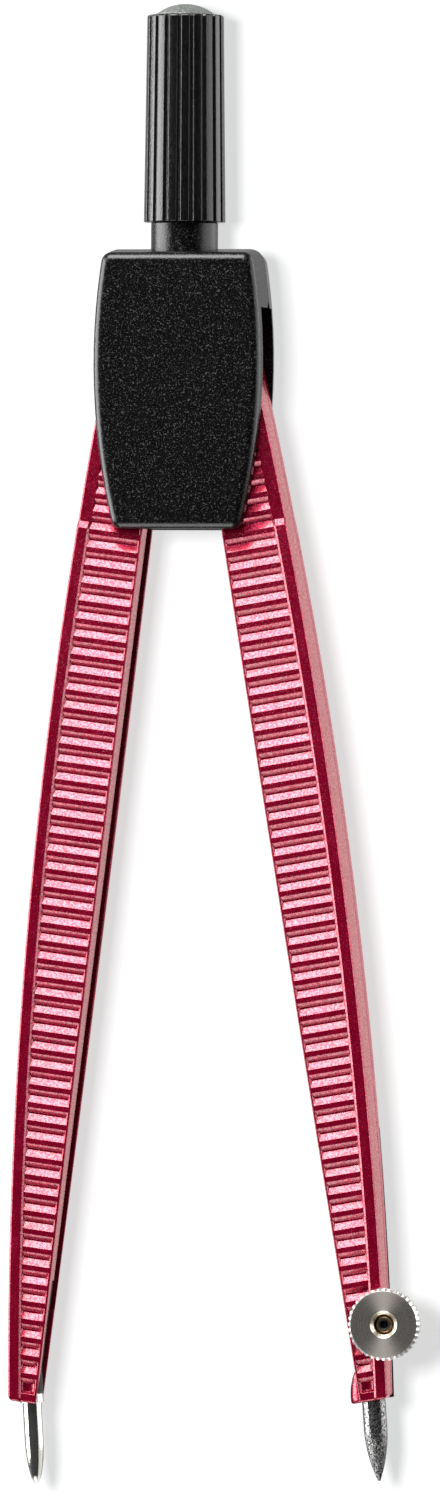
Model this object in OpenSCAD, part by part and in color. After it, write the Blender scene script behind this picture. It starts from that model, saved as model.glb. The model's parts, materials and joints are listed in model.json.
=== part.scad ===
// Drawing compass: two bowed, ribbed legs geared together in a moulded head,
// with a fluted grip, a fixed needle and a 2 mm lead held by a knurled nut.
// Millimetres. The origin is the middle of the grip, +Z up, the front faces -Y.

/* [Grip] */
// Length of the fluted grip sleeve
grip_l = 17.5; // [14:0.1:24]
// Diameter over the ribs at the top of the sleeve
grip_d_top = 6.46; // [6:0.02:8]
// Diameter over the ribs at the bottom of the sleeve
grip_d_bottom = 6.9; // [6.2:0.02:9]
// Number of flutes round the sleeve
flute_count = 19; // [12:1:24]
// Radius of each rounded flute
flute_r = 0.2; // [0.12:0.01:0.24]
// Diameter of the domed cap
cap_d = 5.0; // [4.6:0.05:5.4]
// Height of the dome above the sleeve
cap_h = 0.95; // [0.5:0.05:2]
// Length of the cap's plug inside the sleeve
cap_plug_l = 3.0; // [1.5:0.1:4]

/* [Stem] */
// Diameter of the stem between the head and the sleeve
stem_d = 5.66; // [5:0.02:6.2]
// Length of stem that shows below the sleeve
stem_gap = 2.25; // [1:0.05:6]
// Diameter of the spigot that the sleeve is pressed on
spigot_d = 3.8; // [3.2:0.05:4.2]
// Space between the end of the spigot and the cap's plug
spigot_space = 1.0; // [0.6:0.1:5]

/* [Head] */
// Depth of the head, front face to back face
head_t = 8.0; // [7.6:0.05:10]
// Half width of the head at its widest, on the parting line
head_half_w = 7.5; // [7:0.05:9]
// Radius of the bowed sides of the head
head_side_r = 56; // [40:1:120]
// Widest level of the head below the pivots
head_wide_drop = 1.0; // [0:0.1:3]
// Height of the head above the pivots
head_rise = 8.5; // [7.5:0.1:14]
// Depth of the head below the pivots
head_drop = 15.2; // [12:0.1:18]
// How far the sides draw in from the parting line to each face
head_draft = 0.42; // [0.1:0.02:0.8]
// Radius of the rounding round each face
head_edge_r = 0.75; // [0.2:0.05:0.8]
// Radius of the corners of the outline
head_corner_r = 1.25; // [0.5:0.05:2]
// Width of the slot that the legs swing in
slot_t = 5.1; // [5.02:0.02:5.8]
// Height of the slot's ceiling above the pivots
slot_rise = 3.5; // [3.45:0.05:5]

/* [Pivots] */
// Distance between the two pivots
pivot_pitch = 5.5; // [5.2:0.05:6.4]
// Diameter of the pivot pins
pin_d = 2.4; // [1.6:0.05:2.6]
// Depth to which each pin end is seated in a shell
pin_seat = 0.9; // [0.5:0.05:1.1]
// Outer diameter of the friction and spring washers
washer_d = 4.4; // [3.6:0.05:4.8]
// Thickness of the friction washers
washer_t = 0.4; // [0.3:0.02:0.6]
// Thickness of the sheet of the spring washers
spring_t = 0.18; // [0.1:0.01:0.25]
// Teeth in the full circle of the gear on each leg
gear_teeth = 14; // [12:1:18]
// Play between the teeth, along the pitch line
gear_play = 0.1; // [0.06:0.01:0.16]

/* [Pose] */
// Half the angle between the legs, as they stand open
open_angle = 8.88; // [8.5:0.01:30]
// Lean of the pair of legs to the right of the grip's axis
lean_angle = 1.2; // [0:0.1:3]

/* [Legs] */
// Length of each leg below its pivot
leg_l = 89.6; // [84:0.1:96]
// Radius of the bowed outer edge
bow_r = 470; // [420:5:700]
// Level below the pivots at which the outer edge stands out furthest
bow_drop = 26; // [22:0.5:30]
// How far the outer edge stands out from the pivot there
bow_u = 3.98; // [3.9:0.01:4.3]
// Gap from the middle of the compass to the leg's inner edge at the pivots, legs closed
crotch = 1.2; // [0.8:0.05:1.5]
// Thickness of the tongue that swings in the head
tongue_t = 4.9; // [4.6:0.02:4.92]
// Length of the tongue below the pivot
tongue_l = 15.45; // [15.4:0.05:17]
// Greatest thickness of the leg
belly_t = 5.86; // [5.4:0.02:6.4]
// Level below the pivots of the greatest thickness
belly_drop = 40; // [34:1:46]
// Radius of the bowed front and back faces
belly_r = 1130; // [1000:10:1400]
// Width of the smooth strip along the outer edge
strip_w = 0.95; // [0.6:0.05:1.3]
// Height of the strip above the ribs
strip_h = 0.15; // [0.05:0.01:0.25]
// Width of the smooth rim along the inner edge
rim_w = 0.22; // [0.15:0.01:0.4]

/* [Ribs] */
// Distance from rib to rib
rib_pitch = 1.52; // [1.3:0.01:2]
// Level below the pivots at which the ribs begin
rib_start = 7; // [6.5:0.1:9]
// Depth of the grooves between the ribs
groove_depth = 0.3; // [0.2:0.01:0.5]
// Length of each groove's upper slope
groove_upper = 0.44; // [0.2:0.01:0.46]
// Length of each groove's floor
groove_floor = 0.08; // [0.05:0.01:0.16]
// Length of each groove's lower slope
groove_lower = 0.56; // [0.3:0.01:0.58]

/* [Channel] */
// Width of the channel along the inner side
channel_t = 1.9; // [1:0.05:2.1]
// Offset of the channel from the middle of the leg's thickness
channel_shift = 0.65; // [0.4:0.05:0.8]
// Wall left between the channel and the outer edge
channel_wall = 1.2; // [0.8:0.05:1.6]
// Level below the pivots at which the channel begins
channel_start = 11; // [9:0.5:14]
// Height of the channel's lower end above the end of the leg
channel_end = 8; // [7:0.5:9]
// Play between the lead and its slot, on each side
lead_play = 0.05; // [0.03:0.01:0.08]

/* [Needle] */
// Diameter of the needle
needle_d = 1.6; // [1.2:0.05:1.8]
// Length of needle below the end of the leg
needle_out = 6.9; // [5:0.1:8]
// Diameter of the needle's shank inside the leg
needle_shank_d = 2.0; // [1.7:0.05:2.1]
// Length of the shank inside the leg
needle_in = 6.5; // [4:0.1:7]
// Lean of the needle towards the lead, against the leg
needle_tilt = 11.3; // [9:0.1:11.6]
// Distance of the needle's axis from the leg's inner edge, at the end of the leg
needle_inset = 0.62; // [0.5:0.01:1]
// Length of the slot at the end of the needle leg
needle_slot_l = 10.5; // [10.3:0.1:12]
// Wall left between that slot and the outer edge
needle_wall = 0.8; // [0.6:0.05:1]
// Length of the needle holder
holder_l = 8.4; // [7.2:0.1:8.6]

/* [Lead] */
// Diameter of the lead
lead_d = 2.0; // [1.8:0.05:2.2]
// Length of lead below the end of the leg
lead_out = 6.8; // [5:0.1:8]
// Length of lead inside the leg
lead_in = 10.4; // [9:0.1:11]
// Lean of the lead towards the needle, against the leg
lead_tilt = 5.8; // [5:0.1:6.4]
// Distance of the lead's axis from the leg's inner edge, at the end of the leg
lead_inset = 0.92; // [0.85:0.01:1.1]
// How far the lead can be pushed further in
lead_push = 2; // [0.5:0.1:2.5]
// Length of the ground point
point_l = 4.6; // [3:0.1:6]
// Blunt end of the ground point
point_d = 0.2; // [0.1:0.05:0.4]

/* [Clamp] */
// Diameter of the clamp screw
screw_d = 1.6; // [1.4:0.05:1.6]
// Height of the screw's axis above the end of the leg
screw_up = 6.2; // [5.6:0.1:6.8]
// Gap between the screw and the lead
screw_gap = 0.09; // [0.06:0.01:0.15]
// Radial play of the nut and of the ears on the screw
screw_play = 0.05; // [0.03:0.01:0.08]
// Diameter of the screw's head
screw_head_d = 3.0; // [2.6:0.05:3.2]
// Height of the screw's head
screw_head_h = 0.9; // [0.6:0.05:1.1]
// Diameter of the two ears that the screw passes through
ear_d = 3.2; // [2.8:0.05:3.3]
// Thickness of the ear on the leg
ear_t = 1.0; // [0.8:0.05:1.05]
// Diameter of the nut over its knurl
nut_d = 6.1; // [5:0.05:7]
// Thickness of the nut
nut_t = 1.4; // [1:0.05:2]
// Number of notches in the nut's knurl
knurl_count = 36; // [24:1:44]
// Depth of the knurl
knurl_depth = 0.13; // [0.06:0.01:0.2]
// Length of the clamp plate
plate_l = 22.6; // [18:0.1:26]
// Thickness of the clamp plate at its top
plate_t_top = 0.25; // [0.2:0.05:0.5]
// Thickness of the clamp plate at its end
plate_t_end = 0.85; // [0.6:0.05:0.95]
// Reach of the plate over the lead, past the lead's axis
plate_lap = 0.3; // [0.1:0.05:0.5]
// Length that the flared lip takes up at the end of the leg
lip_l = 3.0; // [2:0.1:5]
// How far the lip stands out from the inner edge
lip_out = 0.85; // [0.3:0.05:1]

/* [Hidden] */

seat_gap = 0.01;     // between pieces that are pressed or laid together
turn_gap = 0.03;     // round a pivot pin
face_gap = 0.05;     // between faces that slide on each other
over = 1;            // how far a cut runs past what it cuts
reach = 8;           // further than a leg reaches across or in depth
fine = 96;           // facets of a small circle

// Levels on the grip's axis
grip_top = grip_l / 2;
grip_bottom = -grip_l / 2;
head_top = grip_bottom - stem_gap;
pivot_z = head_top - head_rise;
pivot_x = pivot_pitch / 2;

left_open = open_angle - lean_angle;
right_open = open_angle + lean_angle;

// ---- Leg's own frame: u outwards from the pivot, w upwards along the closed leg ----

touch_gap = 0.03;
inner_slope = (crotch - touch_gap) / leg_l;
function inner_u(w) = crotch - pivot_x + w * inner_slope;
function bow(r, d) = r - sqrt(r * r - d * d);
function outer_u(w, inset = 0) = bow_u - inset - bow(bow_r - inset, w + bow_drop);
function strip_half(w) = belly_t / 2 - bow(belly_r, w + belly_drop);
function crest_half(w) = w > -tongue_l + 0.0005 ? tongue_t / 2 : strip_half(w) - strip_h;

// Needle and lead axes, as distances from the pivot across the leg
function needle_u(w) = inner_u(-leg_l) + needle_inset + (w + leg_l) * tan(needle_tilt);
function lead_u(w) = inner_u(-leg_l) + lead_inset + (w + leg_l) * tan(lead_tilt);

lead_slot_half = lead_d / 2 + lead_play;
needle_slot_half = 1.1;
screw_w = screw_up - leg_l;
screw_u = lead_u(screw_w) + (lead_d / 2 + screw_gap + screw_d / 2) / cos(lead_tilt);
ear_face = strip_half(screw_w + nut_d / 2) + 0.1;     // level of the ear that the nut bears on
nut_back = ear_face + face_gap;
plate_back = strip_half(screw_w + screw_head_d / 2);  // level that the screw's head bears on

module at_leg(side) {
    // side 1 is the right leg, -1 the left leg
    translate([side * pivot_x, 0, pivot_z])
        rotate([0, -side * (side > 0 ? right_open : left_open), 0])
            scale_side(side) children();
}

module scale_side(side) {
    if (side > 0) children();
    else mirror([1, 0, 0]) children();
}

// Extrudes an outline drawn in u and w through the depth from y1 to y2
module through(y1, y2) {
    translate([0, y2, 0]) rotate([90, 0, 0]) linear_extrude(y2 - y1) children();
}

// Extrudes a profile drawn in depth and w across the leg
module across(half) {
    translate([-half, 0, 0]) rotate([90, 0, 90]) linear_extrude(2 * half) children();
}

module tube_y(r, y1, y2) {
    translate([0, y2, 0]) rotate([90, 0, 0]) cylinder(r = r, h = y2 - y1, $fn = fine);
}

// ---- Head ----

function head_half(z) = head_half_w - bow(head_side_r, z + head_wide_drop);

module head_outline(inset = 0) {
    side = [for (i = [0:16]) let (z = head_rise - i * (head_rise + head_drop) / 16) [head_half(z), z]];
    offset(r = head_corner_r, $fn = 32) offset(delta = -head_corner_r - inset)
        polygon(concat(side, [for (i = [16:-1:0]) [-side[i][0], side[i][1]]]));
}

// One half of the closed head, its sides drawn in towards the face and its edge rounded
module head_half_block() {
    half = head_t / 2;
    straight = half - head_edge_r;
    draft = head_draft * straight / half;
    steps = 3;
    skin = 0.001;
    hull() {
        through(-skin, 0) head_outline();
        for (i = [0:steps]) {
            y = straight + head_edge_r * sin(90 * i / steps);
            through(-y, skin - y) head_outline(draft + head_edge_r * (1 - cos(90 * i / steps)));
        }
    }
}

stud_x = 4.4;        // locating studs, either side of the stem
stud_r = 0.6;
stud_z = (slot_rise + head_rise) / 2;
stud_l = 1.6;
collar_r = spigot_d / 2;
spigot_l = grip_l - cap_plug_l - spigot_space;
notch = 0.6;         // height of the vee in the slot's ceiling
wide = 3 * (head_rise + head_drop + stem_gap + spigot_l);     // more than the shell's whole height

module head_half_shell() {
    difference() {
        union() {
            head_half_block();
            translate([0, 0, head_rise - over]) cylinder(d = stem_d, h = stem_gap + over, $fn = fine);
            translate([0, 0, head_rise]) cylinder(r = collar_r, h = stem_gap + spigot_l, $fn = fine);
        }
        translate([-wide / 2, 0, -wide / 2]) cube(wide);
        translate([-wide / 2, -slot_t / 2, slot_rise - wide]) cube([wide, slot_t, wide]);
        translate([0, 0, slot_rise]) rotate([45, 0, 0])
            cube([wide, notch * sqrt(2), notch * sqrt(2)], center = true);
        for (x = [-pivot_x, pivot_x]) translate([x, 0, 0]) {
            tube_y(pin_d / 2 + seat_gap, -slot_t / 2 - pin_seat - seat_gap, 0);
            tube_y(washer_d / 2 + face_gap, -slot_t / 2 - washer_t + face_gap, 0);
        }
    }
}

module front_shell() {
    color([0.12, 0.12, 0.12]) translate([0, 0, pivot_z]) difference() {
        head_half_shell();
        for (x = [-stud_x, stud_x]) translate([x, 0, stud_z])
            tube_y(stud_r + seat_gap, -stud_l - 2 * seat_gap, over);
    }
}

module rear_shell() {
    color([0.14, 0.14, 0.14]) translate([0, 0, pivot_z]) {
        mirror([0, 1, 0]) head_half_shell();
        for (x = [-stud_x, stud_x]) translate([x, 0, stud_z])
            tube_y(stud_r, -stud_l, 0.5);
    }
}

module grip_sleeve() {
    r1 = grip_d_bottom / 2;
    r2 = grip_d_top / 2;
    lean = atan((r1 - r2) / grip_l);
    shoulder = 0.3;
    color([0.05, 0.05, 0.05]) difference() {
        rotate_extrude($fn = fine)
            polygon([[0, grip_bottom], [r1, grip_bottom], [r2 + shoulder * tan(lean), grip_top - shoulder],
                     [r2 - shoulder, grip_top], [0, grip_top]]);
        translate([0, 0, grip_bottom - over])
            cylinder(r = collar_r + seat_gap, h = over + spigot_l + spigot_space / 2, $fn = fine);
        translate([0, 0, grip_top - cap_plug_l - 0.2])
            cylinder(d = cap_d - 1 + 2 * seat_gap, h = cap_plug_l + over, $fn = fine);
        for (i = [0:flute_count - 1])
            rotate([0, 0, 360 * i / flute_count])
                translate([0, -(r1 + r2) / 2, 0]) rotate([-lean, 0, 0])
                    cylinder(r = flute_r, h = grip_l + 2 * over, center = true, $fn = 24);
    }
}

module grip_cap() {
    r = cap_d / 2;
    dome_r = (r * r + cap_h * cap_h) / (2 * cap_h);
    color([0.62, 0.65, 0.62]) translate([0, 0, grip_top]) {
        intersection() {
            translate([0, 0, cap_h - dome_r]) sphere(r = dome_r, $fn = 2 * fine);
            translate([0, 0, seat_gap]) cylinder(r = r + over, h = cap_h + over, $fn = fine);
        }
        translate([0, 0, -cap_plug_l]) cylinder(r = r - 0.5, h = cap_plug_l + 0.2, $fn = fine);
    }
}

module pivot_pin(side) {
    pin_y = slot_t / 2 + pin_seat;
    color([0.75, 0.75, 0.77]) translate([side * pivot_x, 0, pivot_z])
        tube_y(pin_d / 2, -pin_y, pin_y);
}

// Flat plastic washer in the front shell's recess
module friction_washer(side) {
    color([0.9, 0.9, 0.86]) translate([side * pivot_x, 0, pivot_z])
        difference() {
            tube_y(washer_d / 2, -slot_t / 2 - washer_t + face_gap + seat_gap, -slot_t / 2 + seat_gap);
            tube_y(pin_d / 2 + turn_gap, -slot_t, 0);
        }
}

// Dished steel washer in the rear shell's recess
module spring_washer(side) {
    y1 = slot_t / 2 - seat_gap;
    y2 = slot_t / 2 + washer_t - face_gap - seat_gap;
    r1 = pin_d / 2 + turn_gap;
    r2 = washer_d / 2;
    color([0.7, 0.7, 0.72]) translate([side * pivot_x, 0, pivot_z])
        rotate([-90, 0, 0]) rotate_extrude($fn = fine)
            polygon([[r1, y1], [r1, y1 + spring_t], [r2, y2], [r2, y2 - spring_t]]);
}

// ---- Legs ----

leg_module = pivot_pitch / gear_teeth;
tip_r = pivot_x + 0.8 * leg_module;
root_r = pivot_x - 1.15 * leg_module;
base_r = pivot_x * cos(25);
function roll(r) = sqrt(r * r / (base_r * base_r) - 1) * 180 / PI;
function inv(r) = roll(r) - atan(sqrt(r * r / (base_r * base_r) - 1));
tooth_half = 90 / gear_teeth - gear_play / 4 / pivot_x * 180 / PI + inv(pivot_x);
function flank(r) = tooth_half - inv(max(r, base_r));
function polar(r, a) = [r * cos(a), r * sin(a)];

// Outline of the gear: involute flanks on each tooth, straight roots between them
module gear_outline(tooth_at) {
    radii = [root_r, base_r, pivot_x, tip_r];
    polygon([for (i = [0:gear_teeth - 1]) let (a = tooth_at + 360 * i / gear_teeth)
        each concat([for (r = radii) polar(r, a - flank(r))],
                    [for (i = [len(radii) - 1:-1:0]) polar(radii[i], a + flank(radii[i]))])]);
}

shoulder_r = outer_u(0);

// Round head of the leg: gear teeth towards the other leg, a plain round outside
module leg_head(tooth_at) {
    gear_outline(tooth_at);
    intersection() {
        circle(r = shoulder_r, $fn = fine);
        polygon([[0, 0], polar(reach, -100), [reach, -reach], [reach, reach], polar(reach, 80)]);
    }
}

// Levels that the long bows are drawn through
bow_steps = 24;
bow_levels = [for (i = [0:bow_steps]) -i * leg_l / bow_steps];

// Outline of the leg between its inner edge and its bowed outer edge, each set in
module leg_outline(outer_in = 0, inner_in = 0) {
    polygon(concat([for (w = bow_levels) [outer_u(w, outer_in), w]],
                   [[inner_u(-leg_l) + inner_in, -leg_l], [inner_u(0) + inner_in, 0]]));
}

rib_count = floor((leg_l - rib_start - 0.5) / rib_pitch);
function rib_w(i) = -rib_start - i * rib_pitch;

// Side view of the leg at the level of its ribs' crests
module crest_profile() {
    levels = concat([-rib_start, 0.001 - tongue_l], strip_levels);
    mirror_polygon([for (w = levels) [crest_half(w), w]]);
}

// Side view of the smooth strip
module strip_profile() {
    mirror_polygon([for (w = strip_levels) [strip_half(w), w]]);
}

strip_levels = [for (i = [0:bow_steps]) -tongue_l - i * (leg_l - tongue_l) / bow_steps];

// Polygon through the points and their mirror images
module mirror_polygon(points) {
    polygon(concat(points, [for (i = [len(points) - 1:-1:0]) [-points[i][0], points[i][1]]]));
}

// Side view of what is cut away between the ribs of one face
module groove_profile() {
    lift = 0.1;
    span = groove_upper + groove_floor + groove_lower;
    up = groove_upper * lift / groove_depth;
    low = groove_lower * lift / groove_depth;
    for (i = [0:rib_count - 1]) {
        w = rib_w(i);
        c = crest_half(w - span / 2);
        polygon([[c + lift, w + up], [c - groove_depth, w - groove_upper],
                 [c - groove_depth, w - groove_upper - groove_floor], [c + lift, w - span - low]]);
    }
}

module leg_blank(tooth_at) {
    half = tongue_t / 2;
    through(-half, half) {
        leg_head(tooth_at);
        intersection() {
            leg_outline();
            translate([-reach, -rib_start - over / 2]) square([2 * reach, rib_start + over / 2]);
        }
    }
    intersection() {
        through(-belly_t, belly_t) leg_outline();
        across(reach) crest_profile();
    }
    intersection() {
        through(-belly_t, belly_t) difference() {
            leg_outline();
            leg_outline(strip_w, -1);
        }
        across(reach) strip_profile();
    }
}

// Channel along the inner side; thick is the side, -1 front or 1 rear, with the thicker wall
module channel(thick) {
    mid = -thick * channel_shift;
    through(mid - channel_t / 2, mid + channel_t / 2) intersection() {
        leg_outline(channel_wall, -over);
        polygon([[-reach, -channel_start], [reach, -channel_start - 4],
                 [reach, channel_end - leg_l], [-reach, channel_end - leg_l]]);
    }
}

module leg_bore() {
    tube_y(pin_d / 2 + turn_gap, -belly_t, belly_t);
}

module left_leg() {
    color([0.63, 0.0, 0.19]) at_leg(-1) difference() {
        leg_blank(180 - left_open + 180 / gear_teeth);
        leg_bore();
        intersection() {
            union() {
                across(reach) groove_profile();
                mirror([0, 1, 0]) across(reach) groove_profile();
            }
            through(-belly_t, belly_t) leg_outline(strip_w, rim_w);
        }
        channel(-1);
        through(-needle_slot_half, needle_slot_half)
            slot_outline(slot_top_w, needle_slot_l + over, -2 * over, 0);
        at_needle() translate([0, 0, -over])
            cylinder(d = needle_shank_d + 2 * seat_gap, h = needle_in + over + seat_gap, $fn = fine);
    }
}

slot_top_w = needle_slot_l - leg_l;

// Outline of the needle slot's width over a length from the top, set in from its two sides
module slot_outline(top, length, inner_in, outer_in) {
    levels = [for (i = [0:3]) top - i * length / 3];
    polygon(concat([for (w = levels) [outer_u(w, needle_wall + outer_in), w]],
                   [for (i = [3:-1:0]) [inner_u(levels[i]) + inner_in, levels[i]]]));
}

module at_needle() {
    translate([needle_u(-leg_l), 0, -leg_l]) rotate([0, needle_tilt, 0]) children();
}

module needle() {
    r = needle_d / 2;
    shank = needle_shank_d / 2;
    color([0.85, 0.85, 0.87]) at_leg(-1) at_needle() rotate_extrude($fn = fine)
        polygon([[0, -needle_out], [0.62 * r, 0.58 - needle_out], [0.97 * r, 2.4 - needle_out],
                 [r, 3 - needle_out], [r, 0], [shank, 0], [shank, needle_in], [0, needle_in]]);
}

module needle_holder() {
    recess = 0.3;
    half = needle_slot_half - seat_gap;
    color([0.2, 0.2, 0.2]) at_leg(-1) difference() {
        through(-half, half) slot_outline(slot_top_w - 0.2, holder_l, recess, seat_gap);
        at_needle()
            cylinder(d = needle_shank_d + 2 * seat_gap, h = 3 * needle_in, center = true, $fn = fine);
    }
}

// ---- Lead leg ----

lead_slot_w = lead_in + lead_push + 0.4 - leg_l;

module lead_slot() {
    floor_out = lead_slot_half / cos(lead_tilt);
    polygon([[-reach, lead_slot_w], [lead_u(lead_slot_w) + floor_out, lead_slot_w],
             [lead_u(-leg_l - over) + floor_out, -leg_l - over], [-reach, -leg_l - over]]);
}

plate_top = plate_l - leg_l;
function plate_face(w) = strip_half(w) - plate_t_end
    + (plate_t_end - plate_t_top) * (w + leg_l) / plate_l;

// Outline of the clamp plate, along the outer edge of the lead leg
module plate_outline(gap = 0) {
    lap = plate_lap - gap;
    intersection() {
        leg_outline();
        polygon([[lead_u(plate_top) - lap, plate_top - gap], [reach, plate_top - gap],
                 [reach, -leg_l], [lead_u(-leg_l) - lap, -leg_l]]);
    }
}

module plate_wedge(gap = 0) {
    across(reach)
        polygon([[plate_face(plate_top) + gap, plate_top], [reach, plate_top],
                 [reach, -leg_l - over], [plate_face(-leg_l) + gap, -leg_l - over]]);
}

// Flared lip behind the lead, at the end of the leg
module lip_outline() {
    top = lip_l - leg_l;
    polygon([[inner_u(top), top], [inner_u(-leg_l) - lip_out, -leg_l],
             [inner_u(-leg_l) + 1, -leg_l], [inner_u(top) + 1, top]]);
}

module right_leg() {
    color([0.63, 0.0, 0.19]) at_leg(1) difference() {
        union() {
            leg_blank(180 - right_open);
            translate([screw_u, 0, screw_w]) tube_y(ear_d / 2, -ear_face, -ear_face + ear_t);
            through(lead_slot_half - 0.2, crest_half(-leg_l)) lip_outline();
        }
        leg_bore();
        intersection() {
            across(reach) mirror([1, 0, 0]) groove_profile();
            through(-belly_t, belly_t) leg_outline(strip_w, rim_w);
        }
        intersection() {
            across(reach) groove_profile();
            through(-belly_t, belly_t) difference() {
                leg_outline(strip_w, rim_w);
                translate([-0.2, 0]) plate_outline();
            }
        }
        channel(1);
        through(-lead_slot_half, lead_slot_half) lead_slot();
        intersection() {
            through(0, belly_t) plate_outline();
            plate_wedge();
        }
        translate([screw_u, 0, screw_w]) tube_y(screw_d / 2 + screw_play, -reach, reach);
        translate([screw_u, 0, screw_w]) tube_y(ear_d / 2 + face_gap, -ear_face + ear_t, reach);
    }
}

module clamp_plate() {
    color([0.16, 0.15, 0.15]) at_leg(1) difference() {
        union() {
            intersection() {
                through(0, belly_t) plate_outline(seat_gap);
                plate_wedge(seat_gap);
                across(reach) strip_profile();
            }
            translate([screw_u, 0, screw_w]) tube_y(ear_d / 2, 0.6, plate_back);
        }
        translate([lead_u(-leg_l), 0, -leg_l]) rotate([0, lead_tilt, 0])
            cylinder(r = lead_slot_half, h = 4 * lead_in, center = true, $fn = fine);
        translate([screw_u, 0, screw_w]) tube_y(screw_d / 2 + screw_play, -reach, reach);
        translate([-reach, 0, -leg_l - over])
            cube([reach + lead_u(screw_w), lead_slot_half, 2 * screw_up]);
    }
}

module clamp_screw() {
    tip = nut_back + nut_t - 0.35;
    dimple_r = 0.4;
    color([0.72, 0.7, 0.62]) at_leg(1) translate([screw_u, 0, screw_w]) {
        difference() {
            tube_y(screw_d / 2, -tip, plate_back + 0.2);
            tube_y(dimple_r, -tip - over, -tip + 2 * dimple_r);
        }
        tube_y(screw_head_d / 2, plate_back + seat_gap, plate_back + seat_gap + screw_head_h);
    }
}

module knurled_nut() {
    chamfer = 0.16;
    r = nut_d / 2;
    bore = screw_d / 2 + screw_play;
    sink = 0.3;
    color([0.62, 0.62, 0.6]) at_leg(1) translate([screw_u, -nut_back, screw_w]) rotate([90, 0, 0])
        difference() {
            rotate_extrude($fn = fine)
                polygon([[bore, 0], [r - chamfer, 0], [r, chamfer], [r, nut_t - chamfer],
                         [r - 2 * chamfer, nut_t], [bore + sink, nut_t], [bore, nut_t - sink]]);
            for (i = [0:knurl_count - 1])
                rotate([0, 0, 360 * i / knurl_count]) translate([r, 0, nut_t / 2])
                    rotate([0, 0, 45])
                        cube([knurl_depth * sqrt(2), knurl_depth * sqrt(2), 2 * nut_t], center = true);
        }
}

module lead() {
    r = lead_d / 2;
    end_r = point_d / 2;
    arc_r = (point_l * point_l + (r - end_r) * (r - end_r)) / (2 * (r - end_r));
    total = lead_out + lead_in;
    color([0.3, 0.3, 0.31]) at_leg(1)
        translate([lead_u(-leg_l), 0, -leg_l]) rotate([0, lead_tilt, 0])
            translate([0, 0, -lead_out]) rotate_extrude($fn = fine)
                difference() {
                    square([r, total]);
                    difference() {
                        translate([0, -over]) square([r + over, point_l + over]);
                        translate([r - arc_r, point_l]) circle(r = arc_r, $fn = 360);
                    }
                }
}

front_shell();
rear_shell();
grip_sleeve();
grip_cap();
pivot_pin(-1);  // left_pivot_pin
pivot_pin(1);  // right_pivot_pin
friction_washer(-1);  // left_friction_washer
friction_washer(1);  // right_friction_washer
spring_washer(-1);  // left_spring_washer
spring_washer(1);  // right_spring_washer
left_leg();
needle();
needle_holder();
right_leg();
clamp_plate();
clamp_screw();
knurled_nut();
lead();
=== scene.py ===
import json
import math

import bmesh
import bpy
from mathutils import Matrix, Vector


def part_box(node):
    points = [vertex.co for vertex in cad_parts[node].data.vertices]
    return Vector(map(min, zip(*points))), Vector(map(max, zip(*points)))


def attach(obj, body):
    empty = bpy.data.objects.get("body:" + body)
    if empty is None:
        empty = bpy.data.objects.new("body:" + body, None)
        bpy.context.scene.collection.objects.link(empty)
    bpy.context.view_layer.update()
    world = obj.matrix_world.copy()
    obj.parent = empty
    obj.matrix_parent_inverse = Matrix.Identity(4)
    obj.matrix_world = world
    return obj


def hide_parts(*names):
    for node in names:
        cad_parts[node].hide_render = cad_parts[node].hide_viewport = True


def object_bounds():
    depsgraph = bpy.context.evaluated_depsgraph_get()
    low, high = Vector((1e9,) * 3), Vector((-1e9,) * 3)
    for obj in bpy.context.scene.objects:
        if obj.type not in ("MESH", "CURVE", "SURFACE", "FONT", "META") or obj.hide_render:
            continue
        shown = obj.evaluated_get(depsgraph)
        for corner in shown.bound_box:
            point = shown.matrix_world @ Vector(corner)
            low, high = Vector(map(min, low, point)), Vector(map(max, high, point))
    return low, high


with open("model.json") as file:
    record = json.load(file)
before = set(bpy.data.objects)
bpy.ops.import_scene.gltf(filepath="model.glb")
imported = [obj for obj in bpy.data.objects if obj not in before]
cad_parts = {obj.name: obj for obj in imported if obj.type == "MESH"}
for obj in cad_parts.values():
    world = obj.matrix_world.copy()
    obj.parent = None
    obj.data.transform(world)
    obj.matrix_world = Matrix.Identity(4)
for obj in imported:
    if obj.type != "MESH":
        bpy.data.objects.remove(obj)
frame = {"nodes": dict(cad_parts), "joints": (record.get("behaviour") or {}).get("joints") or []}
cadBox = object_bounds()
mm = 0.001
joints = {joint["name"]: joint for joint in frame["joints"]}


# Node maths written with Python's own signs

class Value:
    def __init__(self, nodes, socket):
        self.nodes = nodes
        self.socket = socket

    def other(self, name):  # another output of the same node
        return Value(self.nodes, self.socket.node.outputs[name])

    def maths(self, operation, *terms):
        return self.nodes.add("ShaderNodeMath", {"operation": operation}, dict(enumerate(terms)))

    def __add__(self, term):
        return self.maths("ADD", self, term)

    def __radd__(self, term):
        return self.maths("ADD", term, self)

    def __sub__(self, term):
        return self.maths("SUBTRACT", self, term)

    def __rsub__(self, term):
        return self.maths("SUBTRACT", term, self)

    def __mul__(self, term):
        return self.maths("MULTIPLY", self, term)

    def __truediv__(self, term):
        return self.maths("DIVIDE", self, term)

    def __neg__(self):
        return self.maths("MULTIPLY", self, -1)

    def __lt__(self, term):
        return self.maths("LESS_THAN", self, term)

    def root(self):
        return self.maths("SQRT", self)


class Nodes:
    def __init__(self, tree):
        self.tree = tree

    def plug(self, node, inputs):
        for key, value in inputs.items():
            for item in value if isinstance(value, list) else [value]:
                if isinstance(item, Value):
                    self.tree.links.new(item.socket, node.inputs[key])
                else:
                    node.inputs[key].default_value = item

    def add(self, kind, settings=None, inputs=None, out=0):
        node = self.tree.nodes.new(kind)
        for key, value in (settings or {}).items():
            if key == "stops":
                self.fillRamp(node.color_ramp, value)
            else:
                setattr(node, key, value)
        self.plug(node, inputs or {})
        return Value(self, node.outputs[out]) if node.outputs else node

    def fillRamp(self, ramp, stops):
        while len(ramp.elements) < len(stops):
            ramp.elements.new(0.5)
        for element, (place, colour) in zip(ramp.elements, stops):
            element.position = place
            element.color = (*colour, 1)


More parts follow.
